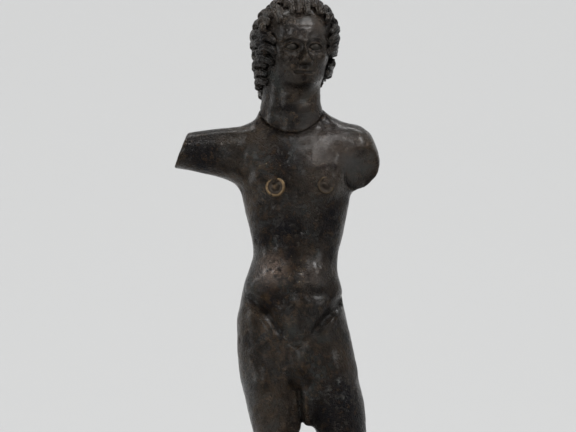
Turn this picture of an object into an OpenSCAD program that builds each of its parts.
// Bronze statuette of a standing youth, arms lost, on a turned wooden socle.
// Millimetres. +Z is up, the figure faces -Y, and the origin is the centre of the felt's underside.

/* [Figure] */
// Height of the figure, from the soles to the top of the hair
figure_h = 200; // [150:1:260]
// Width of the shoulders and hips against the height, 1 as modelled
build_w = 1; // [0.85:0.01:1.2]
// Gap all round between a piece and the recess that it sits in
fit_gap = 0.05; // [0.03:0.01:0.12]

/* [Neck joint] */
// Diameter of the tenon under the head casting
tenon_d = 8.4; // [6:0.1:9]
// Depth of the tenon below the middle of the seam
tenon_depth = 6.5; // [4:0.1:8]
// Diameter of the cross dowel that locks the tenon
dowel_d = 1.6; // [1:0.1:2.4]

/* [Inlays] */
// Diameter of the copper inlays on the chest
areola_d = 4.2; // [3:0.1:5]
// Depth of the copper inlays below the skin
areola_depth = 1.2; // [0.8:0.1:2]
// Width of the silver eye slips, corner to corner
eye_w = 3.4; // [2.8:0.1:3.8]
// Height of the silver eye slips
eye_h = 1.7; // [1.2:0.1:2]
// Depth of the silver eye slips
eye_depth = 1.4; // [1:0.1:2]

/* [Fixing studs] */
// Diameter of the brass studs that rise into the ankles
stud_d = 2.5; // [2:0.1:3]
// Length of each stud inside the leg
stud_grip = 16; // [10:0.5:22]
// Radial clearance of a stud in the socle
stud_clear = 0.3; // [0.1:0.05:0.6]
// Width of the nuts across their flats
nut_af = 5; // [4:0.1:6.5]
// Thickness of the nuts
nut_h = 2; // [1.5:0.1:3]
// Diameter of the washers
washer_d = 7; // [6:0.1:9]
// Thickness of the washers
washer_h = 0.6; // [0.4:0.1:1]

/* [Socle] */
// Diameter of the socle at its foot
socle_d = 72; // [64:0.5:100]
// Diameter of the socle's top table
table_d = 64; // [58:0.5:92]
// Height of the socle above the felt
socle_h = 26; // [20:0.5:50]
// Height of the foot torus
torus_h = 7; // [5:0.1:9]
// Radius of the rounded edge round the table
edge_r = 1.6; // [0.4:0.1:2.5]
// Thickness of the felt under the socle
felt_t = 1.2; // [0.8:0.1:3]
// Margin between the felt and the rounded edge of the foot
felt_margin = 1; // [0.5:0.1:4]

/* [Hidden] */
k = figure_h / 200;             // every figure station below is drawn for a height of 200
w = k * build_w;
top_z = felt_t + socle_h;       // the soles stand here
lean_x = -3.5;                  // the stance, and not the trunk, is centred on the socle

// Stations: [x, y, z above the soles, half width, half depth], from the crotch to the neck
TRUNK = [[0.4, 1.4, 98, 14.2, 8], [0.5, 1.6, 103, 15, 9.2], [-0.2, 1.6, 110, 14.9, 9.9],
         [-0.9, 1, 117, 14.2, 9.6], [-0.9, 0.2, 124, 12.9, 8.8], [0, -0.4, 132, 11.2, 8.2],
         [0.4, 0, 139, 12, 8.6], [0.3, 0.2, 146, 13.2, 9.4], [0.2, 0.2, 152, 14.6, 9.9],
         [0.2, 0.4, 158, 15.6, 9.4], [0.2, 0.9, 163, 15.6, 8], [0.4, 1.6, 166.5, 14.2, 5.8],
         [0.2, 1.6, 169, 11, 5.8], [-1, 1, 171, 8.1, 6.2]];
RIGHT_LEG = [[-3.4, 1.6, 2, 2.6, 3.4], [-3.4, 2.2, 8, 2.7, 3.3], [-3.6, 2.2, 15, 2.9, 3.4],
             [-3.8, 2, 28, 4.1, 4.9], [-3.9, 1.8, 38, 4.7, 5.6], [-4, 0.6, 48, 4.2, 5],
             [-4.2, -0.6, 56, 4.5, 5], [-4.4, -0.7, 66, 5.1, 5.6], [-4.7, 0, 78, 5.7, 6.8],
             [-5.1, 0.6, 90, 6.3, 7.8], [-6.7, 1.2, 100, 7.3, 8.6], [-7.2, 1.6, 108, 7.4, 8.8]];
LEFT_LEG = [[17, 4.6, 2, 2.6, 3.4], [17, 5, 8, 2.7, 3.3], [17, 4.6, 15, 2.9, 3.4],
            [17, 3.4, 28, 4.1, 4.9], [16.9, 2, 38, 4.7, 5.6], [16.4, -0.6, 48, 4.2, 5],
            [15.9, -2.2, 56, 4.5, 5], [14.9, -2.4, 66, 5.1, 5.7], [13.3, -1.6, 78, 5.8, 6.9],
            [11.7, -0.4, 90, 6.6, 8], [9, 0.8, 100, 7.7, 8.7], [7.7, 1.4, 108, 7.2, 8.8]];
// The arms run across: [x, y, z, half height, half depth]
RIGHT_ARM = [[-8, 0.6, 159.6, 8.2, 6.6], [-14, 0.5, 160, 7.6, 6.2], [-19, 0.3, 160.4, 6.4, 5.6],
             [-25, 0, 161, 5.2, 5], [-34, -0.3, 161.4, 4.4, 4.7]];
LEFT_SHOULDER = [[7, 0.6, 160, 8.2, 6.8], [13, 0.4, 159.6, 9, 6.9], [17, 0.2, 159.4, 7.8, 6.6],
                 [20, 0, 158.8, 5.2, 5.4], [21.8, -0.2, 158, 2, 3]];
NECK = [[-1.1, 0.8, 160, 7.2, 6.8], [-1.1, 0.8, 166, 7.4, 6.8], [-1, 0.4, 172, 7.4, 6.7],
        [-0.6, 0.4, 178, 7.4, 7], [-0.2, 0.8, 184, 7.4, 7.6]];
SKULL = [[0.4, -4.2, 177.6, 2.4, 2.8], [0.4, -3, 180, 4.6, 5], [0.3, -1.4, 184, 6.4, 7.8],
         [0.1, 0, 189, 7.6, 9.6], [0, 0.6, 194, 7.2, 9], [0, 0.9, 197, 4.8, 6.4],
         [0, 1, 198.6, 1.6, 2.6]];

seam_at = [-1.1, 0.4, 170];     // middle of the seam round the neck
seam_tilt = 28;                 // the seam drops towards the throat
seam_r = NECK[2][3] + 1.2;      // the seam is cut this far out, and the shoulders stay whole
face_turn = 14;                 // the head looks to its own left
chest_turn = 6;                 // the ribs turn the same way, by less
trunk_round = 2.35;             // squareness of the trunk's sections, 2 is an ellipse
limb_round = 2;
ring_n = 28;
rounds = 16;                    // facets of the modelled muscles
bore_n = 48;
lock_n = 7;                     // facets of one lock of hair
stud_head = 0.6;                // thread that shows below the nut
nut_recess = felt_t + stud_head + nut_h;
dowel_seat = 1;                 // the dowel stops this far inside the far side of the tenon
dowel_proud = 2.2;              // and reaches this far past the tenon into the nape
tenon_root = 0.4;               // the tenon starts this far inside the head
cut_over = 1;                   // cutters pass the face that they cut by this
turn_axis = [0, 0.6, 188];  // the face turns about here

// ---- helpers ----
function sgnpow(v, p) = sign(v) * pow(abs(v), p);
function spline(a, b, c, d, t) =
    0.5 * (2 * b + (c - a) * t + (2 * a - 5 * b + 4 * c - d) * t * t + (3 * b - a - 3 * c + d) * t * t * t);
function pick(list, i) = list[min(max(i, 0), len(list) - 1)];
function smooth(list, n) = concat(
    [for (i = [0:len(list) - 2], j = [0:n - 1])
        spline(pick(list, i - 1), pick(list, i), pick(list, i + 1), pick(list, i + 2), j / n)],
    [list[len(list) - 1]]);
// A station of the figure in the part's frame
function place(p) = [(p[0] + lean_x / build_w) * w, p[1] * w, top_z + p[2] * k];

// One closed skin through rings of points
module skin(rings) {
    n = len(rings[0]);
    last = (len(rings) - 1) * n;
    polyhedron(
        points = [for (r = rings, p = r) p],
        faces = concat(
            [[for (i = [0:n - 1]) i]],
            [[for (i = [n - 1:-1:0]) last + i]],
            [for (r = [0:len(rings) - 2], i = [0:n - 1])
                let (a = r * n + i, b = r * n + (i + 1) % n) [a, a + n, b + n, b]]),
        convexity = 6);
}

// A limb or trunk whose sections are level
module upright(stations, n, squareness, count = ring_n)
    skin([for (s = smooth(stations, n))
        let (c = place(s))
        [for (i = [0:count - 1])
            let (a = 360 * i / count)
            c + [s[3] * w * sgnpow(cos(a), 2 / squareness), s[4] * w * sgnpow(sin(a), 2 / squareness), 0]]]);

// A limb whose sections stand across the X axis. way is 1 along +X and -1 along -X
module sideways(stations, n, way)
    skin([for (s = smooth(stations, n))
        let (c = place(s))
        [for (i = [0:ring_n - 1])
            let (a = way * 360 * i / ring_n)
            c + [0, s[4] * w * cos(a), s[3] * k * sin(a)]]]);

// An oval muscle
module muscle(at, size, turn = [0, 0, 0])
    translate(place(at)) rotate(turn) scale([size[0] * w, size[1] * w, size[2] * k])
        sphere(r = 1, $fn = rounds);

// inner is 1 where the big toe is on the +X side of the foot, and -1 where it is on the other
module foot(ankle, heading, inner) {
    translate([place(ankle)[0], place(ankle)[1], top_z]) rotate([0, 0, heading]) {
        // heel, instep and ball, each a blend of two rounds whose soles are level
        hull() { sole_round(0, 3.6, 2.6, 4.4); sole_round(0, -5, 3.2, 4.6); }
        hull() { sole_round(0, -5, 3.2, 4.6); sole_round(0.4 * inner, -13, 4.2, 2.9); }
        hull() { translate([0, -0.4, 8] * k) sphere(r = 2.9 * k, $fn = rounds); sole_round(0, -8, 3, 3.8); }
        for (i = [0:4])
            hull() {
                toe_round(i, -13.6, inner);
                toe_round(i, -18.6 + 0.25 * i * i, inner);
            }
    }
}

// A round of the foot, [across, along] on the sole, cut level with the ground
module sole_round(x, y, r, h)
    translate([x, y, 0] * k) scale([r, r, h] * k) intersection() {
        sphere(r = 1, $fn = rounds);
        translate([-1, -1, 0]) cube([2, 2, 1]);
    }

module toe_round(i, y, inner)
    sole_round(inner * (2.9 - 1.55 * i), y, 1.05 - 0.09 * i, 2.3 - 0.25 * i);

// An upright round cutter whose lower end is the slanting seam
module above_seam() {
    half = 2 * seam_r * w;
    translate(place(seam_at)) intersection() {
        translate([0, 0, -seam_r * k]) cylinder(h = 60 * k, r = seam_r * w, $fn = bore_n);
        rotate([seam_tilt, 0, 0]) translate([-half, -half, 0]) cube([2 * half, 2 * half, 70 * k]);
    }
}

module tenon(gap)
    translate(place(seam_at)) rotate([seam_tilt, 0, 0]) translate([0, 0, -tenon_depth - gap])
        cylinder(h = tenon_depth + gap + tenon_root, r = tenon_d / 2 + gap, $fn = bore_n);

module dowel_hole(gap)
    translate(place(seam_at)) rotate([seam_tilt, 0, 0])
        translate([0, dowel_seat - gap - tenon_d / 2, -tenon_depth / 2]) rotate([-90, 0, 0])
            cylinder(h = 30 * k, r = dowel_d / 2 + gap, $fn = bore_n);

function areola_at(side) = side < 0 ? [-5.2, -9.4, 151.6] : [8.2, -9, 152];
function areola_yaw(side) = chest_turn + side * 17;

module areola_plug(side, gap)
    translate(place(areola_at(side))) rotate([90 - 4, 0, areola_yaw(side)])
        translate([0, 0, -areola_depth - gap])
            cylinder(h = areola_depth + (gap > 0 ? 6 : 0) + gap, r = areola_d / 2 + gap, $fn = bore_n);

// The right arm ends in a slanting cut, longer below than above
module arm_cut()
    translate(place([-29.1, 0, 161.2])) rotate([0, -90 + 22, 0]) translate([-15, -15, 0] * k) cube([30, 30, 20] * k);

// The left arm is lost at the shoulder: a flat facet that faces down and forwards
module shoulder_facet()
    translate(place([18, -1.6, 154])) rotate([122, 0, 24]) translate([-12, -12, 0] * k) cube([24, 24, 20] * k);

// Front of each eye slip, in the head's own turned frame
function eye_at(side) = [side * 3.1, -9.1, 187.6];

module head_turn() {
    axis = place(turn_axis);
    translate(axis) rotate([0, 0, face_turn]) translate(-axis) children();
}

// Almond prism, where two discs overlap, from the front face backwards
module almond(gap, front, depth) {
    half = eye_w / 2 + gap;
    rise = eye_h / 2 + gap;
    r = (half * half + rise * rise) / (2 * rise);
    rotate([90, 0, 0]) intersection() {
        translate([0, r - rise, -depth]) cylinder(h = depth + front, r = r, $fn = bore_n);
        translate([0, rise - r, -depth]) cylinder(h = depth + front, r = r, $fn = bore_n);
    }
}

// ---- sub-parts ----
module body() {
    color([0.11, 0.095, 0.08]) difference() {
        union() {
            upright(TRUNK, 2, trunk_round);
            upright(NECK, 2, limb_round);
            upright(RIGHT_LEG, 2, limb_round, rounds);
            upright(LEFT_LEG, 2, limb_round, rounds);
            difference() {
                sideways(RIGHT_ARM, 2, -1);
                arm_cut();
            }
            difference() {
                sideways(LEFT_SHOULDER, 2, 1);
                shoulder_facet();
            }
            foot(RIGHT_LEG[0], -4, 1);
            foot(LEFT_LEG[0], 22, -1);
            for (side = [-1, 1]) {
                muscle([0.2 + side * 6.8, -3.2, 152.8], [7.4, 6.3, 6.4], [0, 0, chest_turn]);
                muscle([-0.3 + side * 6.6, 6.2, 108], [6.6, 5.6, 8]);
                muscle([0.2 + side * 7, 4.4, 155], [6.4, 5.2, 8.4]);
            }
            muscle([0, -3.4, 117], [10, 5.6, 10]);
            muscle([0.2, -6.6, 104], [2.2, 2.2, 3.6]);
            muscle([2.2, 1.4, 97], [3.4, 4.6, 7.4]);
            muscle([-4.2, -3.6, 55.4], [2.7, 2.6, 3.6]);
            muscle([15.7, -5.2, 55.6], [2.7, 2.6, 3.6]);
        }
        above_seam();
        tenon(fit_gap);
        dowel_hole(fit_gap);
        for (side = [-1, 1]) areola_plug(side, fit_gap);
        for (leg = [RIGHT_LEG[1], LEFT_LEG[1]])
            translate([place(leg)[0], place(leg)[1], top_z - cut_over])
                cylinder(h = stud_grip + cut_over + fit_gap, r = stud_d / 2 + fit_gap, $fn = bore_n);
    }
}

module head() {
    color([0.10, 0.09, 0.08]) difference() {
        union() {
            intersection() {
                upright(NECK, 2, limb_round);
                above_seam();
            }
            tenon(0);
            head_turn() {
                upright(SKULL, 3, limb_round);
                muscle([0.2, -9.6, 183.6], [1.3, 2, 3.2]);
                hair();
            }
        }
        head_turn() for (side = [-1, 1])
            translate(place(eye_at(side))) almond(fit_gap, 4, eye_depth + fit_gap);
        dowel_hole(fit_gap);
    }
}

// Rows of short locks over the skull, leaving the face open
module hair() {
    muscle([0.2, 2.4, 189.4], [9.8, 8.8, 9.2]);
    for (row = [0:6], i = [0:13]) {
        tilt = 74 - row * 22;
        turn = (i + (row % 2) / 2) * 360 / 14;
        open_face = abs(turn - 270) < (row < 2 ? 0 : row < 3 ? 30 : 58);
        if (!open_face && !(row > 5 && abs(turn - 90) > 70))
            lock([0.2 + 10 * cos(tilt) * cos(turn), 2 + 9.8 * cos(tilt) * sin(turn), 188.8 + 9.6 * sin(tilt)], turn);
    }
}

module lock(at, turn)
    hull() {
        translate(place(at)) sphere(r = 2 * k, $fn = lock_n);
        translate(place(at + [1.1 * cos(turn + 40), 1.1 * sin(turn + 40), -1.8])) sphere(r = 1.2 * k, $fn = lock_n);
    }

module neck_dowel() {
    color([0.45, 0.33, 0.17]) translate(place(seam_at)) rotate([seam_tilt, 0, 0])
        translate([0, dowel_seat - tenon_d / 2, -tenon_depth / 2]) rotate([-90, 0, 0])
            cylinder(h = tenon_d - dowel_seat + dowel_proud, r = dowel_d / 2, $fn = bore_n);
}

module areola(side) {
    color([0.42, 0.25, 0.13]) areola_plug(side, 0);
}

module eye(side) {
    color([0.35, 0.34, 0.32]) head_turn() translate(place(eye_at(side))) intersection() {
        almond(0, 0, eye_depth);
        translate([0, eye_w, 0]) sphere(r = eye_w, $fn = bore_n);
    }
}

module stud(leg) {
    color([0.75, 0.6, 0.3]) translate([place(leg)[0], place(leg)[1], nut_recess - nut_h - stud_head])
        cylinder(h = top_z + stud_grip - nut_recess + nut_h + stud_head, r = stud_d / 2, $fn = bore_n);
}

module at_studs() for (leg = [RIGHT_LEG[1], LEFT_LEG[1]]) translate([place(leg)[0], place(leg)[1], 0]) children();

module stud_washers() {
    color([0.8, 0.65, 0.35]) at_studs() translate([0, 0, nut_recess]) difference() {
        cylinder(h = washer_h, r = washer_d / 2, $fn = bore_n);
        translate([0, 0, -cut_over]) cylinder(h = washer_h + 2 * cut_over, r = stud_d / 2 + fit_gap, $fn = bore_n);
    }
}

module stud_nuts() {
    color([0.78, 0.62, 0.32]) at_studs() translate([0, 0, nut_recess - nut_h]) difference() {
        cylinder(h = nut_h, r = nut_af / sqrt(3), $fn = 6);
        translate([0, 0, -cut_over]) cylinder(h = nut_h + 2 * cut_over, r = stud_d / 2 + fit_gap, $fn = bore_n);
    }
}

module socle() {
    color([0.07, 0.055, 0.05]) difference() {
        rotate_extrude($fn = 128) translate([0, felt_t]) socle_profile();
        at_studs() {
            cylinder(h = top_z + cut_over, r = stud_d / 2 + stud_clear, $fn = bore_n);
            cylinder(h = nut_recess + washer_h, r = washer_d / 2 + stud_clear, $fn = bore_n);
        }
    }
}

// Turned profile: a torus at the foot, a scotia above it and a rounded table
module socle_profile() {
    foot_r = socle_d / 2;
    table_r = table_d / 2;
    lip = torus_h / 2;
    difference() {
        union() {
            square([foot_r - lip, torus_h]);
            translate([foot_r - lip, lip]) circle(r = lip, $fn = 64);
            square([table_r, socle_h - edge_r]);
            square([table_r - edge_r, socle_h]);
            translate([table_r - edge_r, socle_h - edge_r]) circle(r = edge_r, $fn = 48);
        }
        translate([table_r + (foot_r - table_r) / 2, (torus_h + socle_h) / 2])
            circle(r = (socle_h - torus_h) / 2 - 3, $fn = 96);
    }
}

module felt_pad() {
    color([0.05, 0.12, 0.07])
        cylinder(h = felt_t, r = (socle_d - torus_h) / 2 - felt_margin, $fn = 128);
}

body();
head();
neck_dowel();
areola(-1);  // areola_right
areola(1);  // areola_left
eye(-1);  // eye_right
eye(1);  // eye_left
stud(RIGHT_LEG[1]);  // stud_right
stud(LEFT_LEG[1]);  // stud_left
stud_washers();
stud_nuts();
socle();
felt_pad();
